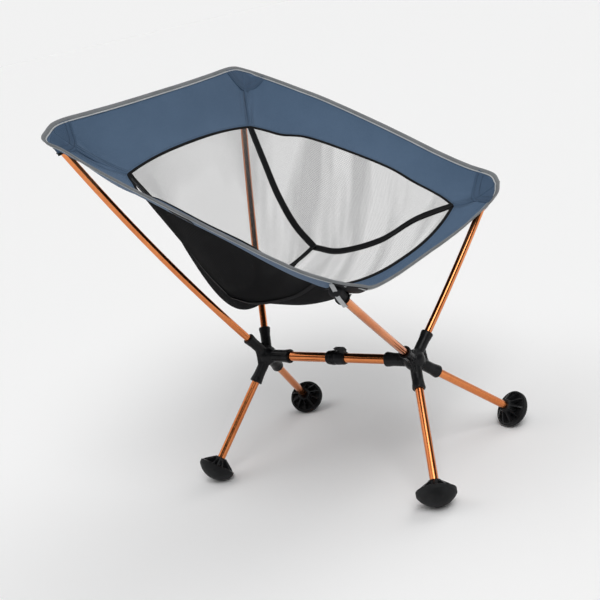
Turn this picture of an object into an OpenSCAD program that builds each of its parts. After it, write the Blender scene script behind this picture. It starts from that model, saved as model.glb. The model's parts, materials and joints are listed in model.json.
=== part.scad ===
// Ultralight backpacking chair: a hub-and-pole frame that stretches a bucket sling.
// Frame of reference: +Z up, X across the chair, the sitter faces -Y.
// The origin lies on the ground, under the middle of the chair's outline.

/* [Frame] */
// Distance from the rear hub to the front hub
hub_span = 288; // [270:1:300]
// Height of both hub centres above the ground
hub_height = 170; // [165:1:175]
// How far the middle of the crossbar lies in front of the origin
crossbar_forward = 3; // [0:1:6]
// Bow of a rear pole, from its chord to the middle of its arc
rear_bow = 10; // [8:1:22]
// Bow of a front pole
front_bow = 3; // [2:1:6]

/* [Tubes] */
// Outer diameter of the crossbar
crossbar_d = 16; // [15:0.5:17]
// Outer diameter of the legs
leg_d = 13; // [12:0.5:13.5]
// Outer diameter of the poles
pole_d = 12; // [11:0.5:12.5]
// Wall thickness of every tube
wall = 0.9; // [0.7:0.1:1.1]
// Diameter of the elastic shock cord
cord_d = 3; // [2:0.5:3]

/* [Hubs] */
// Reach of each socket from the hub's centre
socket_reach = 50; // [46:1:54]
// Depth of each socket
socket_depth = 34; // [28:1:34]

/* [Feet] */
// Widest diameter of a foot
foot_d = 60; // [54:1:62]
// Depth of the rubber dome below the widest ring
dome_depth = 21; // [18:1:22]
// Height of the ribbed cone and collar above the widest ring
cone_height = 17; // [15:1:20]
// Ribs on a foot's cone
rib_count = 10; // [8:1:12]
// Height of the straight wall between the widest ring and the dome
sole_wall = 4; // [3:0.5:4]
// Depth of the flat worn on the dome where it meets the ground
ground_flat = 0.4; // [0.2:0.1:0.6]

/* [Sling] */
// Thickness of the woven bands
band_t = 1.2; // [0.8:0.1:1.4]
// Thickness of the mesh
mesh_t = 1.0; // [0.8:0.1:1.2]
// Width of the webbing
webbing_w = 11; // [8:1:13]
// Thickness of the webbing
webbing_t = 1.4; // [1:0.1:1.6]
// Share of a band's width that the edge binding covers
binding_share = 0.12; // [0.08:0.01:0.15]
// Thickness of the edge binding
binding_t = 2.4; // [2:0.1:3]
// How sharply the sling rises from its middle to the side webbing
bucket_power = 2.4; // [2:0.1:3]
// How far the middle of a band sags below the straight line across it
band_sag = 9; // [4:1:12]

/* [Hidden] */

left = -1;
right = 1;
round_fn = 48;
arc_fn = 720;

copper = "#c8672c";
moulding = "#1b1c1e";
slate = "#4c6280";
mesh_grey = "#3a3c3e";
tape_grey = "#b4b8b8";
webbing_black = "#141415";
cord_grey = "#8c8c8c";

// Running gap between a leg and its socket or foot, on the radius
slide_gap = 0.05;
// Gap between a bowed pole and its straight socket, on the radius
pole_gap = 0.15;
// Gap between a tube's end and the floor of its socket
end_gap = 0.3;

rear_hub_at = [0, hub_span / 2 - crossbar_forward, hub_height];
front_hub_at = [0, -hub_span / 2 - crossbar_forward, hub_height];
rear_tip = [235, 249, 620];
front_tip = [243, -202, 375];

// A foot's widest ring stands so high that the flat on its dome lies on the ground.
rear_splay = [138, 49];
front_splay = [138, -79];

function unit(v) = v / norm(v);
function mirror_x(v, side) = [side * v.x, v.y, v.z];
function mix(a, b, t) = a + (b - a) * t;
dome_h = dome_depth - sole_wall;
dome_r = (foot_d * foot_d / 4 + dome_h * dome_h) / (2 * dome_h);
function foot_rise(tilt) = dome_r - (dome_r - dome_depth) * cos(tilt) - ground_flat;
function foot_height(splay) = foot_rise(atan(norm(splay) / (hub_height - 25)));
function foot_at(hub, splay) = [hub.x + splay.x, hub.y + splay.y, foot_height(splay)];

rear_foot_at = foot_at(rear_hub_at, rear_splay);
front_foot_at = foot_at(front_hub_at, front_splay);

// ---- Splines through a few chosen points -----------------------------------------------

function spline_at(p, i, f) =
  let (last = len(p) - 1)
  let (b = p[i], c = p[min(i + 1, last)])
  let (a = i > 0 ? p[i - 1] : b * 2 - c)
  let (d = i + 2 <= last ? p[i + 2] : c * 2 - b)
  0.5 * (b * 2 + (c - a) * f + (a * 2 - b * 5 + c * 4 - d) * f * f + (b * 3 - a - c * 3 + d) * f * f * f);

function spline(p, t) =
  let (x = min(max(t, 0), 1) * (len(p) - 1))
  let (i = min(floor(x), len(p) - 2))
  spline_at(p, i, x - i);

// ---- Sling outline, right half or whole, in millimetres ---------------------------------

inner_rear = [158, 191, 537];
junction = [120, 82, 322];
inner_front = [189, -158, 362];

strap_back_points = [inner_rear, [140, 164, 477], [129, 142, 419], [123, 116, 366], junction];
strap_seat_points = [junction, [122, 33, 313], [130, -45, 326], [150, -108, 353], inner_front];
middle_back_points = [[0, 197, 549], [0, 204, 460], [0, 195, 370], [0, 168, 292], [0, 130, 264], [0, 84, 312]];
middle_seat_points = [[0, 84, 312], [0, 50, 290], [0, -5, 279], [0, -85, 296], [0, -163, 337]];

side_rim_points = [
  [240, 246, 634], [262, 237, 622], [264, 200, 605], [270, 150, 579], [273, 97, 552], [271, 15, 508],
  [268, -48, 473], [263, -109, 439], [260, -162, 412], [256, -205, 395], [240, -222, 383]
];
side_seam_points = [
  inner_rear, [164, 184, 533], [173, 170, 525], [186, 148, 512], [195, 100, 500], [203, 20, 463],
  [204, -45, 431], [204, -85, 404], [203, -112, 388], [197, -137, 375], inner_front
];
back_rim_half = [
  [0, 241, 639], [80, 242, 639], [150, 244, 640], [200, 247, 641], [225, 248, 639], [240, 246, 634]
];
front_rim_half = [
  [0, -203, 343], [80, -205, 344], [140, -210, 349], [185, -220, 359], [214, -228, 371], [240, -222, 383]
];
back_seam_shares = [0, 0.33, 0.63, 0.85, 0.95, 1];
front_seam_shares = [0, 0.36, 0.65, 0.85, 0.95, 1];

function both_halves(half) = concat([for (i = [len(half) - 1 : -1 : 1]) mirror_x(half[i], left)], half);
function both_shares(half) = concat([for (i = [len(half) - 1 : -1 : 1]) -half[i]], half);

// Middle panels: x runs from one side webbing to the other as share goes from -1 to 1.
function panel(strap, middle, share, t) =
  let (edge = spline(strap, t), centre = spline(middle, t), lift = pow(abs(share), bucket_power))
  [edge.x * share, mix(centre.y, edge.y, lift), mix(centre.z, edge.z, lift)];
function back_panel(share, t) = panel(strap_back_points, middle_back_points, share, t);
function seat_panel(share, t) = panel(strap_seat_points, middle_seat_points, share, t);

junction_share = 0.46;
function strap_line(t) =
  t < junction_share
    ? spline(strap_back_points, t / junction_share)
    : spline(strap_seat_points, (t - junction_share) / (1 - junction_share));

function side_panel(across, t, side) =
  mirror_x(mix(strap_line(t), spline(side_seam_points, t), across), side);

function band_surface(rim, seam, across) =
  mix(rim, seam, across) - [0, 0, 4 * band_sag * across * (1 - across)];
function side_band(across, t, side) =
  mirror_x(band_surface(spline(side_rim_points, t), spline(side_seam_points, t), across), side);
function back_band(across, t) =
  band_surface(
    spline(both_halves(back_rim_half), t), back_panel(spline(both_shares(back_seam_shares), t), 0), across
  );
function front_band(across, t) =
  band_surface(
    spline(both_halves(front_rim_half), t), seat_panel(spline(both_shares(front_seam_shares), t), 1), across
  );

// ---- Sheets: a surface function of (u, v), thickened along its normal --------------------

step = 0.002;
function normal_at(f, u, v) =
  unit(cross(f(u + step, v) - f(u - step, v), f(u, v + step) - f(u, v - step)));
function raised(f, u, v, height) = f(u, v) + normal_at(f, u, v) * height;

function quad(a, b, c, d) = [[a, b, c], [a, c, d]];
function joined(lists) = [for (l = lists) for (x = l) x];

// span is [u0, u1, v0, v1]; low and high are the heights of the two faces.
module sheet(f, span, nu, nv, low, high, flip = false) {
  row = nv + 1;
  count = (nu + 1) * row;
  points = [
    for (h = [low, high], i = [0 : nu], j = [0 : nv])
      raised(f, mix(span[0], span[1], i / nu), mix(span[2], span[3], j / nv), h)
  ];
  faces = joined(concat(
    [for (i = [0 : nu - 1], j = [0 : nv - 1])
      let (a = i * row + j, b = a + row) quad(a, b, b + 1, a + 1)],
    [for (i = [0 : nu - 1], j = [0 : nv - 1])
      let (a = count + i * row + j, b = a + row) quad(a, a + 1, b + 1, b)],
    [for (i = [0 : nu - 1])
      let (a = i * row, b = a + row) quad(a, a + count, b + count, b)],
    [for (i = [0 : nu - 1])
      let (a = i * row + nv, b = a + row) quad(a, b, b + count, a + count)],
    [for (j = [0 : nv - 1]) quad(j, j + 1, j + 1 + count, j + count)],
    [for (j = [0 : nv - 1])
      let (a = nu * row + j) quad(a, a + count, a + 1 + count, a + 1)]
  ));
  polyhedron(points, flip ? [for (t = faces) [t[2], t[1], t[0]]] : faces);
}

// A rectangular strip that follows a line; each ring is [centre, across, up].
module strip(rings, width, thickness, closed = false) {
  n = len(rings);
  corners = [[-0.5, -0.5], [0.5, -0.5], [0.5, 0.5], [-0.5, 0.5]];
  points = [for (r = rings, c = corners) r[0] + r[1] * (c[0] * width) + r[2] * (c[1] * thickness)];
  last = closed ? n - 1 : n - 2;
  sides = [
    for (i = [0 : last], k = [0 : 3])
      let (a = i * 4 + k, b = i * 4 + (k + 1) % 4)
      let (c = ((i + 1) % n) * 4 + (k + 1) % 4, d = ((i + 1) % n) * 4 + k)
      quad(a, b, c, d)
  ];
  ends = closed ? [] : [quad(3, 2, 1, 0), quad(n * 4 - 4, n * 4 - 3, n * 4 - 2, n * 4 - 1)];
  polyhedron(points, joined(concat(sides, ends)));
}

// ---- Placing round pieces --------------------------------------------------------------

module place(at, x, y, z) {
  multmatrix([
    [x.x, y.x, z.x, at.x],
    [x.y, y.y, z.y, at.y],
    [x.z, y.z, z.z, at.z],
    [0, 0, 0, 1]
  ]) children();
}

module along(at, direction) {
  d = unit(direction);
  translate(at) rotate([0, acos(d.z), atan2(d.y, d.x)]) children();
}

module ring(inner, outer, length) {
  difference() {
    cylinder(r = outer, h = length, $fn = round_fn);
    translate([0, 0, -1]) cylinder(r = inner, h = length + 2, $fn = round_fn);
  }
}

// ---- Bowed poles: arcs from a hub's centre to a pole's tip ------------------------------

// The sling pulls each tip towards its own middle, so each pole bows away from it.
sling_middle = [0, 0, 470];
function bow_direction(hub, tip) =
  let (chord = unit(tip - hub), pull = sling_middle - tip)
  -unit(pull - chord * (pull * chord));
function arc_radius(hub, tip, bow) = (pow(norm(tip - hub) / 2, 2) + bow * bow) / (2 * bow);
function half_sweep(hub, tip, bow) = asin(norm(tip - hub) / 2 / arc_radius(hub, tip, bow));
function arc_centre(hub, tip, bow) =
  (hub + tip) / 2 - bow_direction(hub, tip) * (arc_radius(hub, tip, bow) - bow);
function arc_angle(hub, tip, bow, d) =
  d / (arc_radius(hub, tip, bow) * PI / 180) - half_sweep(hub, tip, bow);
function arc_length(hub, tip, bow) = 2 * half_sweep(hub, tip, bow) * arc_radius(hub, tip, bow) * PI / 180;
function arc_point(hub, tip, bow, d) =
  let (a = arc_angle(hub, tip, bow, d), r = arc_radius(hub, tip, bow))
  arc_centre(hub, tip, bow) + (bow_direction(hub, tip) * cos(a) + unit(tip - hub) * sin(a)) * r;
function arc_heading(hub, tip, bow, d) =
  let (a = arc_angle(hub, tip, bow, d))
  unit(unit(tip - hub) * cos(a) - bow_direction(hub, tip) * sin(a));

module arc_piece(hub, tip, bow, from, to, inner, outer) {
  out = bow_direction(hub, tip);
  up = unit(tip - hub);
  start = arc_angle(hub, tip, bow, from);
  place(arc_centre(hub, tip, bow), out, up, cross(out, up))
    rotate([0, 0, start])
      rotate_extrude(angle = arc_angle(hub, tip, bow, to) - start, $fn = arc_fn)
        translate([arc_radius(hub, tip, bow), 0])
          difference() {
            circle(r = outer, $fn = round_fn);
            if (inner > 0) circle(r = inner, $fn = round_fn);
          }
}

rear_length = arc_length(rear_hub_at, rear_tip, rear_bow);
front_length = arc_length(front_hub_at, front_tip, front_bow);
socket_floor = socket_reach - socket_depth;
tube_start = socket_floor + end_gap;
cap_height = 8;
rear_joint = rear_length / 2;
ferrule_half = 34;
cord_start = 12;

function pole_hub(rear) = rear ? rear_hub_at : front_hub_at;
function pole_tip(rear, side) = mirror_x(rear ? rear_tip : front_tip, side);
function pole_bow(rear) = rear ? rear_bow : front_bow;
function pole_length(rear) = rear ? rear_length : front_length;
function socket_end(rear, side, d) = arc_point(pole_hub(rear), pole_tip(rear, side), pole_bow(rear), d);

module pole_piece(rear, side, from, to, inner, outer) {
  arc_piece(pole_hub(rear), pole_tip(rear, side), pole_bow(rear), from, to, inner, outer);
}

module pole_tube(rear, side, from, to) {
  color(copper) pole_piece(rear, side, from, to, pole_d / 2 - wall, pole_d / 2);
}

module rear_pole_lower(side) {
  pole_tube(true, side, tube_start, rear_joint - end_gap / 2);
}

module rear_pole_upper(side) {
  pole_tube(true, side, rear_joint + end_gap / 2, rear_length - cap_height);
}

module front_pole(side) {
  pole_tube(false, side, tube_start, front_length - cap_height);
}

module rear_ferrule(side) {
  outer = pole_d / 2 - wall - slide_gap;
  color("silver")
    pole_piece(true, side, rear_joint - ferrule_half, rear_joint + ferrule_half, outer - wall, outer);
}

module pole_cord(rear, side) {
  color(cord_grey) {
    pole_piece(rear, side, cord_start, pole_length(rear) - cap_height - 10, 0, cord_d / 2);
    translate(socket_end(rear, side, 9.4)) sphere(r = 2.7, $fn = 24);
  }
}

// Plug that closes a pole's tip; the cord's end sits in its blind hole.
module pole_cap(rear, side) {
  length = pole_length(rear);
  hub = pole_hub(rear);
  tip = pole_tip(rear, side);
  heading = arc_heading(hub, tip, pole_bow(rear), length - cap_height);
  spigot = 14;
  color(moulding)
    along(arc_point(hub, tip, pole_bow(rear), length - cap_height), heading)
      difference() {
        union() {
          translate([0, 0, -spigot])
            cylinder(r = pole_d / 2 - wall - 0.1, h = spigot + 1, $fn = round_fn);
          rotate_extrude($fn = round_fn)
            polygon([
              [0, 0], [pole_d / 2 + 0.6, 0], [pole_d / 2 + 0.6, cap_height - 4],
              for (a = [15 : 15 : 90]) [(pole_d / 2 + 0.6) * cos(a), cap_height - 4 + 4 * sin(a)]
            ]);
        }
        translate([0, 0, -spigot - 1])
          cylinder(r = cord_d / 2 + 0.2, h = spigot - 2, $fn = 24);
      }
}

// ---- Hubs ------------------------------------------------------------------------------

core_r = 17;
chamber_r = 12.4;
web_t = 3;
web_reach = 38;
web_hollow = 0.3;

function leg_end(rear, side) = mirror_x(rear ? rear_foot_at : front_foot_at, side);
function leg_axis(rear, side) = unit(leg_end(rear, side) - pole_hub(rear));
function leg_length(rear) = norm(leg_end(rear, right) - pole_hub(rear));

module socket_barrel(bore, length) {
  rotate_extrude($fn = round_fn)
    polygon([
      [0, 0], [bore + 2.6, 0], [bore + 2.6, length - 14], [bore + 4, length - 2], [bore + 3.6, length],
      [0, length]
    ]);
}

// A thin web with a hollow edge, between a pole's barrel and a leg's.
module hub_web(rear, a, b) {
  x = unit(a);
  z = unit(cross(a, b));
  y = cross(z, x);
  turn = acos(unit(a) * unit(b));
  far = [cos(turn), sin(turn)] * web_reach;
  near = [web_reach, 0];
  dip = (near + far) * web_hollow;
  place(pole_hub(rear), x, y, z)
    translate([0, 0, -web_t / 2])
      linear_extrude(height = web_t)
        polygon([
          [0, 0],
          for (i = [0 : 6])
            let (t = i / 6)
            near * pow(1 - t, 2) + dip * 2 * t * (1 - t) + far * t * t
        ]);
}

module socket_bore(bore, length) {
  translate([0, 0, length - socket_depth]) cylinder(r = bore, h = socket_depth + 1, $fn = round_fn);
  cylinder(r = cord_d / 2 + 0.5, h = length, $fn = 24);
}

// Children: 0 is drawn at every pole socket, 1 at every leg socket, 2 at the crossbar's.
module at_sockets(rear) {
  for (side = [left, right]) {
    root = socket_end(rear, side, socket_floor);
    mouth = socket_end(rear, side, socket_reach);
    along(mouth - unit(mouth - root) * socket_reach, mouth - root) children(0);
    along(pole_hub(rear), leg_axis(rear, side)) children(1);
  }
  along(pole_hub(rear), [0, rear ? -1 : 1, 0]) children(2);
}

module hub(rear) {
  color(moulding)
    difference() {
      union() {
        translate(pole_hub(rear)) sphere(r = core_r, $fn = round_fn);
        at_sockets(rear) {
          socket_barrel(pole_d / 2, socket_reach);
          socket_barrel(leg_d / 2, socket_reach);
          socket_barrel(crossbar_d / 2, socket_reach);
        }
        for (side = [left, right])
          hub_web(rear, pole_tip(rear, side) - pole_hub(rear), leg_axis(rear, side));
      }
      at_sockets(rear) {
        socket_bore(pole_d / 2 + pole_gap, socket_reach);
        socket_bore(leg_d / 2 + slide_gap, socket_reach);
        socket_bore(crossbar_d / 2 + slide_gap, socket_reach);
      }
      translate(pole_hub(rear)) sphere(r = chamber_r, $fn = round_fn);
    }
}

module rear_hub() {
  hub(true);
}

module front_hub() {
  hub(false);
}

module crossbar() {
  length = hub_span - 2 * tube_start;
  color(copper)
    along(front_hub_at + [0, tube_start, 0], [0, 1, 0])
      ring(crossbar_d / 2 - wall, crossbar_d / 2, length);
}

module crossbar_cord() {
  color(cord_grey) {
    along(front_hub_at + [0, cord_start, 0], [0, 1, 0])
      cylinder(r = cord_d / 2, h = hub_span - 2 * cord_start, $fn = 24);
    for (at = [front_hub_at + [0, 9.4, 0], rear_hub_at - [0, 9.4, 0]])
      translate(at) sphere(r = 2.7, $fn = 24);
  }
}

// ---- Legs and feet ---------------------------------------------------------------------

// How far a leg runs past the foot's widest ring, and how deep the foot's own socket is.
leg_past_ring = 8.5;
foot_socket_depth = leg_past_ring + cone_height + 0.3;
leg_floor_t = 2;

module leg(rear, side) {
  length = leg_length(rear) + leg_past_ring - tube_start;
  color(copper)
    along(pole_hub(rear) + leg_axis(rear, side) * tube_start, leg_axis(rear, side))
      difference() {
        cylinder(r = leg_d / 2, h = length, $fn = round_fn);
        translate([0, 0, -1]) cylinder(r = leg_d / 2 - wall, h = length + 1 - leg_floor_t, $fn = round_fn);
      }
}

module leg_cord(rear, side) {
  length = leg_length(rear) + leg_past_ring - leg_floor_t - 1 - cord_start;
  color(cord_grey) {
    along(pole_hub(rear) + leg_axis(rear, side) * cord_start, leg_axis(rear, side))
      cylinder(r = cord_d / 2, h = length, $fn = 24);
    translate(pole_hub(rear) + leg_axis(rear, side) * 9.4) sphere(r = 2.7, $fn = 24);
  }
}

// A foot's own axis points along its leg, away from the hub; its widest ring is at 0.
module at_foot(rear, side) {
  along(leg_end(rear, side), leg_axis(rear, side)) children();
}

plate_r = foot_d / 2 - 1.6;
plate_t = 3;
post_r = leg_d / 2 + 3;
post_depth = leg_past_ring + 3;
collar_r = leg_d / 2 + 4.5;

module foot_shell(rear, side) {
  rib_step = 360 / rib_count;
  color(moulding)
    at_foot(rear, side)
      difference() {
        union() {
          rotate_extrude($fn = round_fn)
            polygon([
              [0, post_depth], [post_r, post_depth], [post_r, plate_t], [plate_r, plate_t], [plate_r, -2.5],
              [plate_r - 2, -3.5], [plate_r - 3.5, -2], [collar_r + 1, -1.5], [collar_r, -cone_height + 2],
              [collar_r - 1.2, -cone_height], [0, -cone_height]
            ]);
          for (i = [0 : rib_count - 1])
            rotate([90, 0, i * rib_step])
              translate([0, 0, -1.1])
                linear_extrude(height = 2.2)
                  polygon([
                    [post_r, -cone_height + 2], [collar_r, -cone_height + 1.5], [plate_r - 6, -7.5],
                    [plate_r - 1, -3], [plate_r - 2, 0], [post_r, 0]
                  ]);
        }
        translate([0, 0, -cone_height - 1])
          cylinder(r = leg_d / 2 + slide_gap, h = foot_socket_depth + 1, $fn = round_fn);
      }
}

module foot_sole(rear, side) {
  lip = 2;
  color("#26282a")
    difference() {
      at_foot(rear, side)
        difference() {
          intersection() {
            translate([0, 0, dome_depth - dome_r]) sphere(r = dome_r, $fn = 2 * round_fn);
            translate([0, 0, -lip]) cylinder(r = foot_d / 2, h = lip + dome_depth + 1, $fn = round_fn);
          }
          translate([0, 0, -lip - 1]) cylinder(r = plate_r + 0.1, h = lip + 1 + plate_t + 0.1, $fn = round_fn);
          cylinder(r = post_r + 0.1, h = post_depth + 0.1, $fn = round_fn);
        }
      translate([-foot_d * 6, -foot_d * 6, -foot_d]) cube([foot_d * 12, foot_d * 12, foot_d]);
    }
}

// ---- Storage clip on the crossbar ------------------------------------------------------

clip_bore = crossbar_d / 2 + slide_gap;
sleeve_length = 17;
jaw_length = 18;
clip_gap = 0.3;
sleeve_from = -crossbar_forward + 1;

// The clip's axis runs along the crossbar, towards the front hub.
module at_clip(start) {
  translate([0, start, hub_height]) rotate([90, 0, 0]) children();
}

module clip_sleeve() {
  color(moulding)
    at_clip(sleeve_from + sleeve_length)
      difference() {
        rotate_extrude($fn = round_fn)
          polygon([
            [0, 0], [clip_bore + 2.4, 0], [clip_bore + 3.2, 2], [clip_bore + 4.4, sleeve_length - 5],
            [clip_bore + 3.6, sleeve_length], [0, sleeve_length]
          ]);
        translate([0, 0, -1]) cylinder(r = clip_bore, h = sleeve_length + 2, $fn = round_fn);
        for (i = [1 : 3])
          translate([0, 0, i * 3.4])
            ring(clip_bore + 3, clip_bore + 8, 1.1);
      }
}

module clip_jaw() {
  top = clip_bore + 3;
  color(moulding)
    at_clip(sleeve_from - clip_gap)
      difference() {
        union() {
          rotate_extrude($fn = round_fn)
            polygon([
              [0, 0], [clip_bore + 3.4, 0], [clip_bore + 3.8, 3], [clip_bore + 3, jaw_length - 3],
              [clip_bore + 1.8, jaw_length], [0, jaw_length]
            ]);
          rotate([0, 90, 0])
            translate([0, 0, -4.5])
              linear_extrude(height = 9)
                polygon([
                  [0, top - 2], [-jaw_length, top - 2], [-jaw_length - 1, top + 2], [-jaw_length + 3, top + 6.5],
                  [1, top + 6.5], [-4, top + 3.2], [-jaw_length + 7, top + 3], [-jaw_length + 7, top],
                  [0, top]
                ]);
        }
        translate([0, 0, -1]) cylinder(r = clip_bore, h = jaw_length + 2, $fn = round_fn);
        translate([clip_bore - 3, -5, jaw_length - 9]) cube([12, 10, 10]);
      }
}

// ---- Sling pieces ----------------------------------------------------------------------

seam_gap = 0.012;

module band_back() {
  color(slate)
    sheet(function (u, v) back_band(u, v), [binding_share, 1 - seam_gap, 0.012, 0.988], 3, 18,
      -band_t / 2, band_t / 2);
}

module band_side(side) {
  color(slate)
    sheet(function (u, v) side_band(u, v, side), [binding_share, 1 - seam_gap, 0.008, 0.992], 3, 20,
      -band_t / 2, band_t / 2);
}

module band_front() {
  color(slate)
    sheet(function (u, v) front_band(u, v), [binding_share, 1 - seam_gap * 2, 0.012, 0.988], 3, 18,
      -band_t / 2, band_t / 2);
}

module mesh_back() {
  color(mesh_grey)
    sheet(function (u, v) back_panel(u, v), [-0.99, 0.99, 0.012, 0.99], 14, 14, -mesh_t / 2, mesh_t / 2);
}

module mesh_seat() {
  color(mesh_grey)
    sheet(function (u, v) seat_panel(u, v), [-0.99, 0.99, 0.01, 0.99], 14, 12, -mesh_t / 2, mesh_t / 2);
}

module mesh_side(side) {
  color(mesh_grey)
    sheet(function (u, v) side_panel(u, v, side), [0.03, 0.975, 0.05, 0.95], 4, 18, -mesh_t / 2, mesh_t / 2);
}

// Webbing lies on the inner face of the mesh, over the seam between two panels.
webbing_height = mesh_t / 2 + 1.6 + webbing_t / 2;
function strap_across(t, side) =
  unit(side_panel(0.2, t, side) - side_panel(0, t, side) + (side_panel(0, t, side) - mirror_x(inner_panel_point(t), side)));
function inner_panel_point(t) =
  t < junction_share
    ? back_panel(0.85, t / junction_share)
    : seat_panel(0.85, (t - junction_share) / (1 - junction_share));
function strap_ring(t, side) =
  let (ahead = unit(side_panel(0, t + step, side) - side_panel(0, t - step, side)))
  let (raw = strap_across(t, side))
  let (across = unit(raw - ahead * (raw * ahead)))
  let (up = cross(across, ahead) * side)
  [side_panel(0, t, side) + up * webbing_height, across * side, up];

module webbing_side(side) {
  count = 26;
  color(webbing_black)
    strip([for (i = [0 : count]) strap_ring(mix(0.02, 0.985, i / count), side)], webbing_w, webbing_t);
}

function cross_ring(share) =
  let (here = back_panel(share, 0.995))
  let (ahead = unit(back_panel(share + 0.01, 0.995) - back_panel(share - 0.01, 0.995)))
  let (across = unit(cross([0, 0, 1], ahead)))
  [here + [0, 0, webbing_height + 1.2], across, cross(ahead, across)];

module webbing_cross() {
  reach = 0.93;
  count = 10;
  color(webbing_black)
    strip([for (i = [0 : count]) cross_ring(mix(-reach, reach, i / count))], webbing_w, webbing_t);
}

binding_width = 8;

// The binding runs once round the whole rim.
function rim_share(f, t) = [f(binding_share / 2 - 0.01, t), unit(f(binding_share, t) - f(0, t)),
  normal_at(f, binding_share / 2, t)];
function rim_run(f, count, reverse, flip) = [
  for (i = [0 : count - 1])
    let (t = (reverse ? count - 0.5 - i : i + 0.5) / count, r = rim_share(f, t))
    [r[0], r[1], r[2] * (flip ? -1 : 1)]
];

module edge_binding() {
  rings = concat(
    rim_run(function (u, v) back_band(u, v), 20, false, false),
    rim_run(function (u, v) side_band(u, v, right), 20, false, false),
    rim_run(function (u, v) front_band(u, v), 20, true, true),
    rim_run(function (u, v) side_band(u, v, left), 20, true, true)
  );
  color(tape_grey) strip(rings, binding_width, binding_t, true);
}

// ---- Corner pockets and patches --------------------------------------------------------

pocket_wall = 1.2;
pocket_length = 27;

module pocket(rear, side) {
  length = pole_length(rear);
  hub = pole_hub(rear);
  tip = pole_tip(rear, side);
  from = length - pocket_length;
  inner = pole_d / 2 + 1.2;
  color(slate)
    along(arc_point(hub, tip, pole_bow(rear), from), tip - arc_point(hub, tip, pole_bow(rear), from))
      difference() {
        cylinder(r = inner + pocket_wall, h = pocket_length + 2.2, $fn = round_fn);
        translate([0, 0, -1]) cylinder(r = inner, h = pocket_length + 1.8, $fn = round_fn);
      }
}

// A half-moon patch is sewn over each corner's mitre seam, on the inner face of the bands.
patch_r = 24;
patch_t = 0.8;
// Height of a patch over the fold of its corner, towards the sitter
patch_lift = 3;
function corner_point(rear, across) = rear ? side_band(across, 0, right) : side_band(across, 1, right);
function corner_frame(rear) =
  let (centre = corner_point(rear, binding_share + 0.03), inward = unit(corner_point(rear, 0.6) - centre))
  let (ridge = rear ? side_band(0.2, 0.05, right) - back_band(0.2, 0.97)
                    : side_band(0.2, 0.95, right) - front_band(0.2, 0.97))
  let (sideways = unit(ridge - inward * (ridge * inward)))
  [centre, inward, sideways, cross(sideways, inward) * (rear ? -1 : 1)];

module patch(rear, side) {
  f = corner_frame(rear);
  color(slate)
    mirror([side < 0 ? 1 : 0, 0, 0])
      place(f[0] + f[3] * patch_lift, f[2], f[1], cross(f[2], f[1]))
        intersection() {
          cylinder(r = patch_r, h = patch_t, $fn = round_fn);
          translate([-patch_r, 3, -1]) cube([patch_r * 2, patch_r, patch_t + 2]);
        }
}

module side_tag() {
  color(tape_grey)
    sheet(function (u, v) side_band(u, v, left), [0.16, 0.27, 0.49, 0.53], 1, 2,
      -band_t / 2 - 1.2, -band_t / 2 - 0.4);
}

// ---- The chair -------------------------------------------------------------------------

rear_hub();
front_hub();
crossbar();
crossbar_cord();
rear_pole_lower(left);  // rear_pole_lower_left
rear_pole_lower(right);  // rear_pole_lower_right
rear_pole_upper(left);  // rear_pole_upper_left
rear_pole_upper(right);  // rear_pole_upper_right
rear_ferrule(left);  // rear_ferrule_left
rear_ferrule(right);  // rear_ferrule_right
front_pole(left);  // front_pole_left
front_pole(right);  // front_pole_right
pole_cap(true, left);  // pole_cap_rear_left
pole_cap(true, right);  // pole_cap_rear_right
pole_cap(false, left);  // pole_cap_front_left
pole_cap(false, right);  // pole_cap_front_right
pole_cord(true, left);  // pole_cord_rear_left
pole_cord(true, right);  // pole_cord_rear_right
pole_cord(false, left);  // pole_cord_front_left
pole_cord(false, right);  // pole_cord_front_right
leg_cord(true, left);  // leg_cord_rear_left
leg_cord(true, right);  // leg_cord_rear_right
leg_cord(false, left);  // leg_cord_front_left
leg_cord(false, right);  // leg_cord_front_right
leg(true, left);  // leg_rear_left
leg(true, right);  // leg_rear_right
leg(false, left);  // leg_front_left
leg(false, right);  // leg_front_right
foot_shell(true, left);  // foot_shell_rear_left
foot_shell(true, right);  // foot_shell_rear_right
foot_shell(false, left);  // foot_shell_front_left
foot_shell(false, right);  // foot_shell_front_right
foot_sole(true, left);  // foot_sole_rear_left
foot_sole(true, right);  // foot_sole_rear_right
foot_sole(false, left);  // foot_sole_front_left
foot_sole(false, right);  // foot_sole_front_right
clip_sleeve();
clip_jaw();
band_back();
band_side(left);  // band_left
band_side(right);  // band_right
band_front();
mesh_back();
mesh_seat();
mesh_side(left);  // mesh_left
mesh_side(right);  // mesh_right
webbing_side(left);  // webbing_left
webbing_side(right);  // webbing_right
webbing_cross();
edge_binding();
pocket(true, left);  // pocket_rear_left
pocket(true, right);  // pocket_rear_right
pocket(false, left);  // pocket_front_left
pocket(false, right);  // pocket_front_right
patch(true, left);  // patch_rear_left
patch(true, right);  // patch_rear_right
patch(false, left);  // patch_front_left
patch(false, right);  // patch_front_right
side_tag();
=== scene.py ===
"""Looks of an ultralight backpacking chair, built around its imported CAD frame."""

import json
import math

import bpy
import bmesh
import numpy as np
from mathutils import Matrix, Vector


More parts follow.
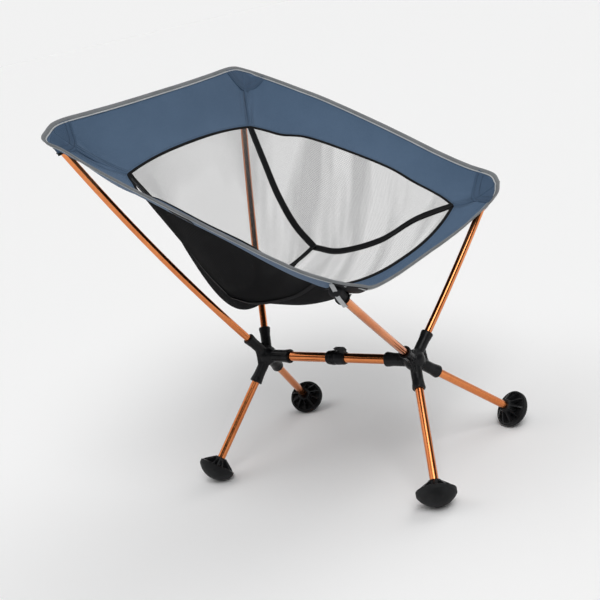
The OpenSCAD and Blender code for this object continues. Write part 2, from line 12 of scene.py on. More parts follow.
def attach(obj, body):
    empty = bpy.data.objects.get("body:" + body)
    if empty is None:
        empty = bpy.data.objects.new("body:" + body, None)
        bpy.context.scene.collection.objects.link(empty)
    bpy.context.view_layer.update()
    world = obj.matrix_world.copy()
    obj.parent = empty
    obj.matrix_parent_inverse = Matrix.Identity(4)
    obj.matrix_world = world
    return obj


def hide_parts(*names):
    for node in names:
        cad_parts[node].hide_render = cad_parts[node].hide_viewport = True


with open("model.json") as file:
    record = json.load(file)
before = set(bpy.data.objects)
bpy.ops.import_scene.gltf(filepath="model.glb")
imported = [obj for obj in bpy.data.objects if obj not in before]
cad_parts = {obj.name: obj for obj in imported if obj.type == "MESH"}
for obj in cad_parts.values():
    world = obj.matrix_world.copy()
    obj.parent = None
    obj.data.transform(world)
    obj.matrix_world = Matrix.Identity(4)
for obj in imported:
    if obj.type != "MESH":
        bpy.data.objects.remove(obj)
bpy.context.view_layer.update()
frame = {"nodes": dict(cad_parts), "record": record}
record = frame["record"]
nodes = frame["nodes"]

MM = 0.001
KEYS = ("rear_left", "rear_right", "front_left", "front_right")


# ---- Camera ------------------------------------------------------------------------------

CAMERA_AT = (-1.2652, -0.9424, 0.7460)
CAMERA_YAW, CAMERA_PITCH, CAMERA_ROLL = 37.985, -16.482, -13.007
CAMERA_LENS = 61.55


def make_camera():
    """A camera at CAMERA_AT; yaw turns it left from +X, pitch raises it and roll leans it, in degrees."""
    yaw, pitch, roll = (math.radians(a) for a in (CAMERA_YAW, CAMERA_PITCH, CAMERA_ROLL))
    ahead = Vector((math.cos(yaw) * math.cos(pitch), math.sin(yaw) * math.cos(pitch), math.sin(pitch)))
    level = Vector((math.sin(yaw), -math.cos(yaw), 0))
    above = level.cross(ahead)
    right = level * math.cos(roll) + above * math.sin(roll)
    up = above * math.cos(roll) - level * math.sin(roll)
    data = bpy.data.cameras.new("camera")
    data.sensor_width = 36
    data.lens = CAMERA_LENS
    data.clip_end = 300
    camera = bpy.data.objects.new("camera", data)
    camera.matrix_world = Matrix((
        (right.x, up.x, -ahead.x, CAMERA_AT[0]),
        (right.y, up.y, -ahead.y, CAMERA_AT[1]),
        (right.z, up.z, -ahead.z, CAMERA_AT[2]),
        (0, 0, 0, 1)))
    bpy.context.scene.collection.objects.link(camera)
    bpy.context.scene.camera = camera


make_camera()


# ---- Sling shape, the same lines as in the CAD, in millimetres ---------------------------

INNER_REAR = (158, 191, 537)
JUNCTION = (120, 82, 322)
INNER_FRONT = (189, -158, 362)
STRAP_BACK = (INNER_REAR, (140, 164, 477), (129, 142, 419), (123, 116, 366), JUNCTION)
STRAP_SEAT = (JUNCTION, (122, 33, 313), (130, -45, 326), (150, -108, 353), INNER_FRONT)
MIDDLE_BACK = ((0, 197, 549), (0, 204, 460), (0, 195, 370), (0, 168, 292), (0, 130, 264), (0, 84, 312))
MIDDLE_SEAT = ((0, 84, 312), (0, 50, 290), (0, -5, 279), (0, -85, 296), (0, -163, 337))
SIDE_RIM = (
    (240, 246, 634), (262, 237, 622), (264, 200, 605), (270, 150, 579), (273, 97, 552), (271, 15, 508),
    (268, -48, 473), (263, -109, 439), (260, -162, 412), (256, -205, 395), (240, -222, 383))
SIDE_SEAM = (
    INNER_REAR, (164, 184, 533), (173, 170, 525), (186, 148, 512), (195, 100, 500), (203, 20, 463),
    (204, -45, 431), (204, -85, 404), (203, -112, 388), (197, -137, 375), INNER_FRONT)
BACK_RIM = ((0, 241, 639), (80, 242, 639), (150, 244, 640), (200, 247, 641), (225, 248, 639), (240, 246, 634))
FRONT_RIM = ((0, -203, 343), (80, -205, 344), (140, -210, 349), (185, -220, 359), (214, -228, 371),
             (240, -222, 383))
BACK_SHARES = (0, 0.33, 0.63, 0.85, 0.95, 1)
FRONT_SHARES = (0, 0.36, 0.65, 0.85, 0.95, 1)
BAND_SAG = 9
BUCKET_POWER = 2.4
JUNCTION_SHARE = 0.46
# A point inside the bucket, which every inner face looks towards
INSIDE = np.array((0, 10, 500)) * MM
REAR_HUB = np.array((0, 141, 170)) * MM
FRONT_HUB = np.array((0, -147, 170)) * MM
REAR_TIP = np.array((235, 249, 620)) * MM
FRONT_TIP = np.array((243, -202, 375)) * MM
REAR_BOW = 10 * MM
FRONT_BOW = 3 * MM
SLING_MIDDLE = np.array((0, 0, 470)) * MM

# ---- Sizes of the sewn details, in metres --------------------------------------------------

BAND_CLOTH = 0.0011
MESH_CLOTH = 0.0009
BINDING_WIDTH, BINDING_THICKNESS = 0.0072, 0.0026
WEBBING_WIDTH, WEBBING_THICKNESS = 0.0115, 0.0016
SEAM_TAPE_WIDTH = 0.0052
PATCH_RADIUS = {"rear": 0.043, "front": 0.047}
PATCH_LOW, PATCH_HIGH = 0.0004, 0.0015
POCKET_LENGTH = 0.027
WEB_THICKNESS = 0.0034
HUB_VOXEL = 0.0009
FLOOR_RADIUS = 90.0


def unit(v):
    v = np.asarray(v, float)
    return v / np.maximum(np.linalg.norm(v, axis=-1, keepdims=True), 1e-12)


def spline(points, t):
    """A smooth line through the points, at each t from 0 to 1."""
    p = np.array(points, float)
    flat = p.ndim == 1
    if flat:
        p = p[:, None]
    t = np.asarray(t, float)
    last = len(p) - 1
    x = np.clip(t, 0, 1) * last
    i = np.minimum(np.floor(x).astype(int), last - 1)
    f = (x - i)[..., None]
    p = np.vstack([2 * p[0] - p[1], p, 2 * p[-1] - p[-2]])
    a, b, c, d = (p[i + k] for k in range(4))
    out = 0.5 * (2 * b + (c - a) * f + (2 * a - 5 * b + 4 * c - d) * f ** 2
                 + (3 * b - a - 3 * c + d) * f ** 3)
    return out[..., 0] if flat else out


def both_halves(half):
    return [(-x, y, z) for x, y, z in half[:0:-1]] + list(half)


def both_shares(half):
    return [-s for s in half[:0:-1]] + list(half)


def mix(a, b, t):
    return a + (b - a) * t


def panel(strap, middle, share, t):
    edge, centre = spline(strap, t), spline(middle, t)
    lift = np.abs(share) ** BUCKET_POWER
    return np.stack([edge[..., 0] * share, mix(centre[..., 1], edge[..., 1], lift),
                     mix(centre[..., 2], edge[..., 2], lift)], axis=-1)


def back_panel(share, t):
    return panel(STRAP_BACK, MIDDLE_BACK, share, t) * MM


def seat_panel(share, t):
    return panel(STRAP_SEAT, MIDDLE_SEAT, share, t) * MM


def strap_line(t):
    t = np.asarray(t, float)
    upper = spline(STRAP_BACK, t / JUNCTION_SHARE)
    lower = spline(STRAP_SEAT, (t - JUNCTION_SHARE) / (1 - JUNCTION_SHARE))
    return np.where((t < JUNCTION_SHARE)[..., None], upper, lower)


def turned(points, side):
    return points * np.array((side, 1, 1))


def side_panel(side):
    def at(across, t):
        return turned(mix(strap_line(t), spline(SIDE_SEAM, t), np.asarray(across)[..., None]), side) * MM
    return at


def band_surface(rim, seam, across):
    across = np.asarray(across)[..., None]
    return mix(rim, seam, across) - np.array((0, 0, 4 * BAND_SAG)) * across * (1 - across)


def side_band(side):
    def at(across, t):
        return turned(band_surface(spline(SIDE_RIM, t), spline(SIDE_SEAM, t), across), side) * MM
    return at


def back_band(across, t):
    seam = back_panel(spline(both_shares(BACK_SHARES), t), np.zeros_like(t)) / MM
    return band_surface(spline(both_halves(BACK_RIM), t), seam, across) * MM


def front_band(across, t):
    seam = seat_panel(spline(both_shares(FRONT_SHARES), t), np.ones_like(t)) / MM
    return band_surface(spline(both_halves(FRONT_RIM), t), seam, across) * MM


def inward_normal(f, u, v):
    """Unit normals of the surface, on the side that faces into the bucket."""
    e = 0.002
    n = unit(np.cross(f(u + e, v) - f(u - e, v), f(u, v + e) - f(u, v - e)))
    side = np.sum(n * (INSIDE - f(u, v)), axis=-1).mean()
    return n if side > 0 else -n


def onto(f, guess, targets):
    """The (u, v) of a surface nearest to each target point, by a few Newton steps."""
    uv = np.repeat(np.array([guess], float), len(targets), axis=0)
    e = 1e-4
    for _ in range(12):
        u, v = uv[:, 0], uv[:, 1]
        miss = targets - f(u, v)
        du = (f(u + e, v) - f(u - e, v)) / (2 * e)
        dv = (f(u, v + e) - f(u, v - e)) / (2 * e)
        a, b, c = (du * du).sum(1), (du * dv).sum(1), (dv * dv).sum(1)
        p, q = (du * miss).sum(1), (dv * miss).sum(1)
        det = np.maximum(a * c - b * b, 1e-12)
        uv += np.clip(np.stack([(c * p - b * q) / det, (a * q - b * p) / det], 1), -0.2, 0.2)
        uv = np.clip(uv, -0.02, 1.02)
    return uv


# ---- Materials ----------------------------------------------------------------------------

class Maker:
    """A material's node tree, with short calls for the nodes used here."""

    def __init__(self, name, colour, roughness, **sockets):
        self.material = bpy.data.materials.new(name)
        self.material.use_nodes = True
        self.tree = self.material.node_tree
        self.shader = self.tree.nodes["Principled BSDF"]
        self.shader.inputs["Base Color"].default_value = (*colour, 1)
        self.shader.inputs["Roughness"].default_value = roughness
        for name, value in sockets.items():
            self.shader.inputs[name.replace("_", " ")].default_value = value

    def node(self, kind, *inputs, **settings):
        n = self.tree.nodes.new(kind)
        for k, v in settings.items():
            setattr(n, k, v)
        for i, value in enumerate(inputs):
            if value is None:
                continue
            if isinstance(value, bpy.types.NodeSocket):
                self.tree.links.new(value, n.inputs[i])
            else:
                n.inputs[i].default_value = value
        return n

    def math(self, operation, *inputs):
        return self.node("ShaderNodeMath", *inputs, operation=operation).outputs[0]

    def place(self, kind="Object"):
        return self.node("ShaderNodeTexCoord").outputs[kind]

    def noise(self, scale, detail=3.0, where="Object", stretch=None):
        at = self.place(where)
        if stretch:
            at = self.node("ShaderNodeMapping", at, None, None, stretch).outputs[0]
        return self.node("ShaderNodeTexNoise", at, None, scale, detail).outputs[0]

    def ramp(self, value, *stops):
        n = self.node("ShaderNodeValToRGB", value)
        ramp = n.color_ramp
        while len(ramp.elements) < len(stops):
            ramp.elements.new(0.5)
        for element, (position, colour) in zip(ramp.elements, stops):
            element.position = position
            element.color = (*colour, 1) if len(colour) == 3 else colour
        return n.outputs[0]

    def fade(self, value, low, high):
        """value from 0..1 to low..high."""
        return self.node("ShaderNodeMapRange", value, 0.0, 1.0, low, high).outputs[0]

    def colour(self, socket):
        self.tree.links.new(socket, self.shader.inputs["Base Color"])

    def into(self, name, socket):
        self.tree.links.new(socket, self.shader.inputs[name])

    def bump(self, height, distance, strength=1.0):
        n = self.node("ShaderNodeBump", strength, distance, None, height)
        for i, s in enumerate(n.inputs):
            if s.name == "Height":
                self.tree.links.new(height, s)
            elif s.name == "Distance":
                s.default_value = distance
            elif s.name == "Strength":
                s.default_value = strength
        self.tree.links.new(n.outputs[0], self.shader.inputs["Normal"])


def weave(m, pitch, over=1):
    """Height of a plain weave in a piece's own UV, which is in metres."""
    parts = m.node("ShaderNodeSeparateXYZ", m.place("UV")).outputs
    warp = m.math("ABSOLUTE", m.math("SINE", m.math("MULTIPLY", parts[0], math.pi / pitch)))
    weft = m.math("ABSOLUTE", m.math("SINE", m.math("MULTIPLY", parts[1], math.pi / pitch / over)))
    swap = m.math("SINE", m.math("MULTIPLY", m.math("ADD", parts[0], parts[1]), math.pi / pitch))
    side = m.math("GREATER_THAN", swap, 0.0)
    return m.math("ADD", m.math("MULTIPLY", warp, side),
                  m.math("MULTIPLY", weft, m.math("SUBTRACT", 1.0, side)))


def cloth(name, dark, light, pitch=0.0009, roughness=0.62, sheen=0.06):
    m = Maker(name, light, roughness, Sheen_Weight=sheen, Sheen_Roughness=0.5, Specular_IOR_Level=0.12)
    threads = weave(m, pitch)
    blotch = m.noise(9.0, 4.0)
    fine = m.noise(420.0, 2.0)
    tone = m.math("ADD", m.math("MULTIPLY", blotch, 0.45),
                  m.math("ADD", m.math("MULTIPLY", threads, 0.35), m.math("MULTIPLY", fine, 0.2)))
    m.colour(m.ramp(tone, (0.25, dark), (0.75, light)))
    m.into("Roughness", m.fade(blotch, roughness - 0.1, roughness + 0.12))
    m.bump(m.math("ADD", m.math("MULTIPLY", threads, 0.8), m.math("MULTIPLY", fine, 0.3)), 0.00022, 0.7)
    return m.material


def mesh_cloth(name, dark, light, clear):
    """Open knit: rows of small holes, closed by threads; each face hides only what lies behind its front."""
    m = Maker(name, light, 0.9, Specular_IOR_Level=0.03)
    m.material.surface_render_method = "BLENDED"
    parts = m.node("ShaderNodeSeparateXYZ", m.place("UV")).outputs
    pitch = 0.0022
    rows = m.math("SINE", m.math("MULTIPLY", parts[0], 2 * math.pi / pitch))
    columns = m.math("SINE", m.math("MULTIPLY", parts[1], 2 * math.pi / pitch))
    holes = m.math("ADD", m.math("MULTIPLY", m.math("MULTIPLY", rows, columns), 0.5), 0.5)
    blotch = m.noise(7.0, 3.0)
    m.colour(m.ramp(m.math("ADD", m.math("MULTIPLY", holes, 0.4), m.math("MULTIPLY", blotch, 0.6)),
                    (0.2, dark), (0.8, light)))
    # Back faces are left fully clear, so from either side only the copy facing the camera shows: the lit grey
    # inside or the painted-shade black outside.
    front = m.math("SUBTRACT", 1.0, m.node("ShaderNodeNewGeometry").outputs["Backfacing"])
    # Painted crease shade: stretched diagonal noise streaks let less floor show through the knit, so the mesh
    # looks darker along them. They stand in for shade in folds and follow no real fold.
    shade_streak_turn, shade_streak_scale = (0.5, -0.7, 0.35), (3.0, 26.0, 3.0)
    turned_place = m.node("ShaderNodeMapping", m.place(), None, shade_streak_turn, shade_streak_scale).outputs[0]
    painted_crease_shade = m.node("ShaderNodeTexNoise", turned_place, None, 1.0, 2.0).outputs[0]
    open_share = m.math("MULTIPLY", m.fade(holes, 0.75, 1.25), m.fade(m.ramp(
        painted_crease_shade, (0.38, (0, 0, 0)), (0.56, (1, 1, 1))), 0.72, 1.06))
    thread = m.math("SUBTRACT", 1.0, m.math("MULTIPLY", open_share, clear))
    m.into("Alpha", m.math("MULTIPLY", thread, front))
    m.bump(holes, 0.0003, 0.6)
    return m.material


def moulded(name, colour, roughness, grain=900.0, bump=0.00005, gloss=0.2):
    m = Maker(name, colour, roughness, Specular_IOR_Level=gloss)
    texture = m.noise(grain, 3.0)
    wear = m.noise(28.0, 5.0)
    light = tuple(min(c * 2.6 + 0.006, 1) for c in colour)
    m.colour(m.ramp(wear, (0.35, colour), (0.8, light)))
    m.into("Roughness", m.fade(wear, roughness - 0.08, roughness + 0.14))
    m.bump(texture, bump, 0.6)
    return m.material


def metal(name, dark, light, roughness, brushed):
    m = Maker(name, light, roughness, Metallic=1.0, Coat_Weight=0.3, Coat_Roughness=0.08)
    broad = m.noise(14.0, 4.0)
    fine = m.noise(brushed, 2.0)
    m.colour(m.ramp(m.math("ADD", m.math("MULTIPLY", broad, 0.7), m.math("MULTIPLY", fine, 0.3)),
                    (0.3, dark), (0.7, light)))
    m.into("Roughness", m.fade(fine, roughness - 0.05, roughness + 0.08))
    m.bump(fine, 0.00001, 0.3)
    return m.material


def tape(name, dark, light, pitch=0.0012, roughness=0.6):
    """Ribbed narrow tape: ribs across its width, in UV metres."""
    m = Maker(name, light, roughness, Specular_IOR_Level=0.06)
    parts = m.node("ShaderNodeSeparateXYZ", m.place("UV")).outputs
    ribs = m.math("ABSOLUTE", m.math("SINE", m.math("MULTIPLY", parts[1], math.pi / pitch)))
    cross = m.math("ABSOLUTE", m.math("SINE", m.math("MULTIPLY", parts[0], math.pi / pitch)))
    height = m.math("ADD", m.math("MULTIPLY", ribs, 0.7), m.math("MULTIPLY", cross, 0.3))
    blotch = m.noise(35.0, 3.0)
    m.colour(m.ramp(m.math("ADD", m.math("MULTIPLY", height, 0.5), m.math("MULTIPLY", blotch, 0.5)),
                    (0.2, dark), (0.8, light)))
    m.bump(height, 0.0003, 0.7)
    return m.material


BLUE = cloth("slate_cloth", (0.048, 0.087, 0.150), (0.096, 0.154, 0.240))
BLUE_DARK = cloth("slate_corner_cloth", (0.038, 0.068, 0.12), (0.066, 0.112, 0.182), pitch=0.0011)
BLACK_CLOTH = cloth("black_cloth", (0.005, 0.005, 0.0055), (0.018, 0.018, 0.02), sheen=0.0)
# Lit and shaded copies of one grey mesh knit. The inner faces are the lit side, grey and see-through. The
# outer faces are painted shade, near-black and almost opaque, standing in for the shadowed outside of the
# sling.
MESH_LIT_INNER = mesh_cloth("mesh_inner_lit", (0.11, 0.11, 0.11), (0.24, 0.24, 0.245), 0.66)
MESH_SHADED_OUTER = mesh_cloth("mesh_outer_painted_shade", (0.004, 0.004, 0.0042), (0.016, 0.016, 0.017), 0.004)
BLACK_TAPE = tape("black_tape", (0.003, 0.003, 0.0035), (0.013, 0.013, 0.014))
GREY_TAPE = tape("grey_tape", (0.13, 0.14, 0.145), (0.24, 0.25, 0.26))
LIGHT_TAPE = tape("light_tape", (0.34, 0.36, 0.37), (0.58, 0.60, 0.61))
SILVER_TAPE = tape("silver_tape", (0.25, 0.26, 0.27), (0.55, 0.56, 0.57), pitch=0.0016)
BLUE_THREAD = Maker("blue_thread", (0.018, 0.032, 0.06), 0.6).material
GREY_THREAD = Maker("grey_thread", (0.16, 0.17, 0.18), 0.6).material
BLACK_THREAD = Maker("black_thread", (0.03, 0.03, 0.032), 0.6).material
PLASTIC = moulded("black_nylon", (0.006, 0.0062, 0.0068), 0.24, gloss=0.14)
RUBBER = moulded("black_rubber", (0.008, 0.0083, 0.0087), 0.5, grain=500.0, bump=0.00012, gloss=0.1)
COPPER = metal("copper_anodised", (0.60, 0.165, 0.045), (0.84, 0.30, 0.10), 0.15, 260.0)
BARE = metal("bare_tube", (0.55, 0.56, 0.57), (0.75, 0.76, 0.77), 0.28, 300.0)
CORD = cloth("cord_braid", (0.10, 0.10, 0.10), (0.34, 0.34, 0.34), pitch=0.0012)


# ---- Mesh building ------------------------------------------------------------------------

def make(name, points, faces, materials, kinds=None, uv=None, body="frame", smooth=True,
         sharp=None, outward=True):
    """A mesh object riding on a body; kinds is each face's material, uv each point's place in metres."""
    mesh = bpy.data.meshes.new(name)
    mesh.from_pydata([tuple(p) for p in np.asarray(points, float)], [],
                     [tuple(int(i) for i in f) for f in faces])
    for m in materials:
        mesh.materials.append(m)
    if kinds is not None:
        mesh.polygons.foreach_set("material_index", np.asarray(kinds, np.int32))
    if uv is not None:
        layer = mesh.uv_layers.new(name="UVMap")
        loops = np.zeros(len(mesh.loops), np.int32)
        mesh.loops.foreach_get("vertex_index", loops)
        layer.data.foreach_set("uv", np.asarray(uv, np.float32)[loops].ravel())
    if outward:
        bm = bmesh.new()
        bm.from_mesh(mesh)
        bmesh.ops.recalc_face_normals(bm, faces=bm.faces)
        bm.to_mesh(mesh)
        bm.free()
    mesh.polygons.foreach_set("use_smooth", np.full(len(mesh.polygons), smooth))
    if sharp:
        mesh.set_sharp_from_angle(angle=math.radians(sharp))
    mesh.update()
    piece = bpy.data.objects.new(name, mesh)
    bpy.context.scene.collection.objects.link(piece)
    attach(piece, body)
    return piece


def grid_faces(nu, nv, base=0):
    i, j = np.meshgrid(np.arange(nu), np.arange(nv), indexing="ij")
    a = (base + i * (nv + 1) + j).ravel()
    return np.stack([a, a + nv + 1, a + nv + 2, a + 1], 1)


def shell(name, f, span, nu, nv, thickness, materials, wave=None, lift=0.0, size=(1, 1)):
    """A closed sheet of cloth on the surface f, its inner face first; wave raises it along its normal."""
    u, v = np.meshgrid(np.linspace(span[0], span[1], nu + 1), np.linspace(span[2], span[3], nv + 1),
                       indexing="ij")
    n = inward_normal(f, u, v)
    middle = f(u, v)
    if wave is not None:
        middle = middle + n * wave(u, v, middle)[..., None]
    inner = (middle + n * (lift + thickness / 2)).reshape(-1, 3)
    outer = (middle + n * (lift - thickness / 2)).reshape(-1, 3)
    count = len(inner)
    row = nv + 1
    top = grid_faces(nu, nv)
    bottom = grid_faces(nu, nv, count)[:, ::-1]
    edge = np.concatenate([np.arange(row), np.arange(1, nu + 1) * row + nv,
                           (nu * row + np.arange(nv - 1, -1, -1)), np.arange(nu - 1, 0, -1) * row])
    ahead = np.roll(edge, -1)
    rim = np.stack([edge, ahead, ahead + count, edge + count], 1)
    faces = np.concatenate([top, bottom, rim])
    kinds = np.concatenate([np.zeros(len(top)), np.ones(len(bottom) + len(rim))])
    if len(materials) == 1:
        kinds[:] = 0
    uv = np.stack([u.ravel() * size[0], v.ravel() * size[1]], 1)
    return make(name, np.concatenate([inner, outer]), faces, materials, kinds,
                np.concatenate([uv, uv]), sharp=50)


def lengthwise(points, closed=False):
    """Unit headings along a line of points."""
    if closed:
        return unit(np.roll(points, -1, 0) - np.roll(points, 1, 0))
    return unit(np.gradient(points, axis=0))


def sweep(name, path, across, up, profile, material, closed=False, body="frame", sharp=40):
    """Sweeps a closed profile of (across, up) offsets along a path; across and up are each point's axes."""
    profile = np.asarray(profile, float)
    n, k = len(path), len(profile)
    points = (path[:, None] + across[:, None] * profile[None, :, :1] + up[:, None] * profile[None, :, 1:])
    along = np.concatenate([[0], np.cumsum(np.linalg.norm(np.diff(path, axis=0), axis=1))])
    around = np.concatenate([[0], np.cumsum(np.linalg.norm(np.diff(profile, axis=0), axis=1))])
    uv = np.stack(np.broadcast_arrays(around[None, :], along[:, None]), -1).reshape(-1, 2)
    last = n if closed else n - 1
    i, j = np.meshgrid(np.arange(last), np.arange(k), indexing="ij")
    i, j = i.ravel(), j.ravel()
    ahead, beside = (i + 1) % n, (j + 1) % k
    faces = np.stack([i * k + j, i * k + beside, ahead * k + beside, ahead * k + j], 1)
    faces = [tuple(f) for f in faces]
    if not closed:
        faces += [tuple(range(k - 1, -1, -1)), tuple(range((n - 1) * k, n * k))]
    return make(name, points.reshape(-1, 3), faces, [material], uv=uv, body=body, sharp=sharp)


def rounded(width, thickness, corner=3):
    """A flat strip's cross-section with rounded edges."""
    r = thickness / 2
    out = []
    for centre, start in ((width / 2 - r, -90), (-width / 2 + r, 90)):
        for a in np.linspace(start, start + 180, 2 * corner + 1):
            out.append((centre + r * math.cos(math.radians(a)), r * math.sin(math.radians(a))))
    return out


def stitches(name, lines, material, pitch=0.0034, length=0.0024, thick=0.0007):
    """Rows of separate thread stitches; each line is (points, normals) along a seam."""
    points, faces = [], []
    for path, normals in lines:
        path = np.asarray(path, float)
        along = np.concatenate([[0], np.cumsum(np.linalg.norm(np.diff(path, axis=0), axis=1))])
        for at in np.arange(pitch / 2, along[-1], pitch):
            c = np.array([np.interp(at, along, path[:, k]) for k in range(3)])
            e = np.array([np.interp(min(at + 0.0005, along[-1]), along, path[:, k]) for k in range(3)])
            b = np.array([np.interp(at - 0.0005, along, path[:, k]) for k in range(3)])
            n = unit(np.array([np.interp(at, along, np.asarray(normals)[:, k]) for k in range(3)]))
            d = unit(e - b)
            s = np.cross(d, n)
            base = len(points)
            for shift, size in ((-0.5, 0.35), (-0.25, 1.0), (0.25, 1.0), (0.5, 0.35)):
                for a, h in ((1, 0), (0, 1), (-1, 0), (0, -1)):
                    points.append(c + d * shift * length + (s * a + n * h) * thick / 2 * size)
            for ring in range(3):
                for k in range(4):
                    a, b2 = base + ring * 4 + k, base + ring * 4 + (k + 1) % 4
                    faces.append((a, b2, b2 + 4, a + 4))
            faces.append((base + 3, base + 2, base + 1, base))
            faces.append((base + 12, base + 13, base + 14, base + 15))
    return make(name, points, faces, [material])


def ripple(seed, waves, low, high):
    """A smooth random field: a sum of seeded sine waves of the given lengths in metres."""
    rng = np.random.default_rng(seed)
    terms = []
    for _ in range(waves):
        d = unit(rng.normal(size=3))
        length = rng.uniform(low, high)
        terms.append((d * 2 * math.pi / length, rng.uniform(0, 2 * math.pi), length / high))

    def field(points):
        total = sum(w * np.sin(points @ k + phase) for k, phase, w in terms)
        return total / sum(w for _, _, w in terms)
    return field


# ---- Sling --------------------------------------------------------------------------------

BANDS = {
    "back": (back_band, (0.09, 0.49)), "front": (front_band, (0.05, 0.45)),
    "left": (side_band(-1), (0.078, 0.52)), "right": (side_band(1), (0.078, 0.52)),
}
SEAM_ROWS = 220


def near(t, middle, width):
    return np.exp(-((t - middle) / width) ** 2)


def band_wave(seed, amount):
    soft = ripple(seed, 14, 0.05, 0.16)

    def wave(u, v, points):
        ends = near(v, 0, 0.12) + near(v, 1, 0.12)
        puckers = np.sin(u * 9 + v * 70) * ends * 0.0006 * np.sin(np.pi * u)
        held = np.sin(np.pi * np.clip(u, 0, 1)) ** 0.7
        return soft(points) * amount * held * (0.5 + ends) + puckers
    return wave


def mesh_wave(seed, amount, folds=()):
    soft = ripple(seed, 16, 0.06, 0.22)

    def wave(u, v, points):
        edge = np.minimum(np.minimum(1 - np.abs(u), v), 1 - v) if u.min() < -0.5 else np.minimum(
            np.minimum(u, 1 - u), np.minimum(v, 1 - v))
        held = np.clip(edge / 0.12, 0, 1)
        out = soft(points) * amount
        for start, end, depth, width in folds:
            a, b = np.array(start), np.array(end)
            d = b - a
            t = np.clip(((points - a) @ d) / (d @ d), 0, 1)
            away = np.linalg.norm(points - (a + t[..., None] * d), axis=-1)
            out = out + depth * np.exp(-(away / width) ** 2)
        return out * held
    return wave


BACK_FOLDS = (
    ((-0.125, 0.190, 0.530), (0.060, 0.110, 0.300), 0.005, 0.011),
    ((-0.060, 0.200, 0.545), (0.095, 0.085, 0.320), 0.006, 0.010),
    ((0.010, 0.200, 0.545), (0.115, 0.130, 0.410), -0.004, 0.014),
)


def build_cloth():
    for i, (name, (f, size)) in enumerate(BANDS.items()):
        piece = shell(f"{name}_band_cloth", f, (0.01, 0.995, 0, 1), 16, 120, BAND_CLOTH, [BLUE],
                      band_wave(11 + i, 0.0022), size=size)
        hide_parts(f"band_{name}")
    back = shell("back_mesh_cloth", back_panel, (-1, 1, 0, 1), 96, 96, MESH_CLOTH, [MESH_LIT_INNER, MESH_SHADED_OUTER],
                 mesh_wave(31, 0.0026, BACK_FOLDS), size=(0.14, 0.38))
    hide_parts("mesh_back")
    seat = shell("seat_mesh_cloth", seat_panel, (-1, 1, 0, 1), 90, 90, MESH_CLOTH, [MESH_LIT_INNER, MESH_SHADED_OUTER],
                 mesh_wave(32, 0.0018), size=(0.135, 0.27))
    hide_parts("mesh_seat")
    for name, side in (("left", -1), ("right", 1)):
        piece = shell(f"{name}_mesh_cloth", side_panel(side), (0, 1, 0, 1), 40, 120, MESH_CLOTH,
                      [MESH_LIT_INNER, MESH_SHADED_OUTER], mesh_wave(33 + side, 0.0032), size=(0.09, 0.42))
        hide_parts(f"mesh_{name}")


def seam_path(f, u, rows, v0=0.0, v1=1.0):
    v = np.linspace(v0, v1, rows)
    u = np.full_like(v, u)
    return f(u, v), inward_normal(f, u, v), unit(f(u + 0.02, v) - f(u - 0.02, v))


def rim_frames():
    """Points, inward normals and across directions once round the rim, at a share of the band's width."""
    runs = (("back", False), ("right", False), ("front", True), ("left", True))
    path, normal, across = [], [], []
    for name, flip in runs:
        f = BANDS[name][0]
        p, n, a = seam_path(f, 0.0, 130)
        if flip:
            p, n, a = p[::-1], n[::-1], a[::-1]
        path.append(p[:-1])
        normal.append(n[:-1])
        across.append(a[:-1])
    path = np.concatenate(path)
    normal, across = (smoothed(np.concatenate(x), 4) for x in (normal, across))
    along = lengthwise(path, True)
    across = unit(across - along * np.sum(across * along, -1, keepdims=True))
    up = np.cross(along, across)
    up *= np.sign(np.sum(up * normal, -1, keepdims=True))
    return path, across, up


def smoothed(values, rounds):
    """Unit vectors round a loop, averaged with their neighbours."""
    for _ in range(rounds):
        values = unit(np.roll(values, 1, 0) + 2 * values + np.roll(values, -1, 0))
    return values


def build_binding():
    path, across, up = rim_frames()
    w, t = BINDING_WIDTH, BINDING_THICKNESS
    profile = [
        (w, t / 2 - 0.0003), (w, -t / 2 + 0.0003), (w - 0.0006, -t / 2), (0.001, -t / 2 - 0.0001),
        (-0.0006, -t / 3), (-0.0011, 0), (-0.0006, t / 3), (0.001, t / 2 + 0.0001), (w - 0.0006, t / 2),
    ]
    wobble = ripple(5, 10, 0.02, 0.07)(path)[:, None] * 0.0004
    piece = sweep("edge_binding_tape", path + up * wobble, across, up, profile, GREY_TAPE, closed=True,
                  sharp=70)
    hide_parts("edge_binding")
    for name, face in (("inner", 1), ("outer", -1)):
        sweep(f"edge_binding_{name}_fold", path + across * 0.0066 + up * (wobble + face * (t / 2 + 0.0001)),
              across, up, rounded(0.0021, 0.0009, 2), LIGHT_TAPE, closed=True, sharp=70)
    closed = np.concatenate([path, path[:1]])
    a, u = np.concatenate([across, across[:1]]), np.concatenate([up, up[:1]])
    seam = closed + a * 0.0046
    stitches("edge_binding_stitches", [(seam + u * 0.0014, u), (seam - u * 0.0014, -u)], GREY_THREAD)


def build_seam_tapes():
    lines = []
    for name, (f, _) in BANDS.items():
        path, normal, across = seam_path(f, 0.993, SEAM_ROWS)
        along = lengthwise(path)
        up = unit(np.cross(along, across))
        up *= np.sign(np.sum(up * normal, -1, keepdims=True))
        sweep(f"{name}_seam_tape", path, across, up, rounded(SEAM_TAPE_WIDTH, 0.0026), BLACK_TAPE)
        lines.append((path - across * SEAM_TAPE_WIDTH + up * 0.0007, up))
    stitches("seam_stitches", lines, BLUE_THREAD)


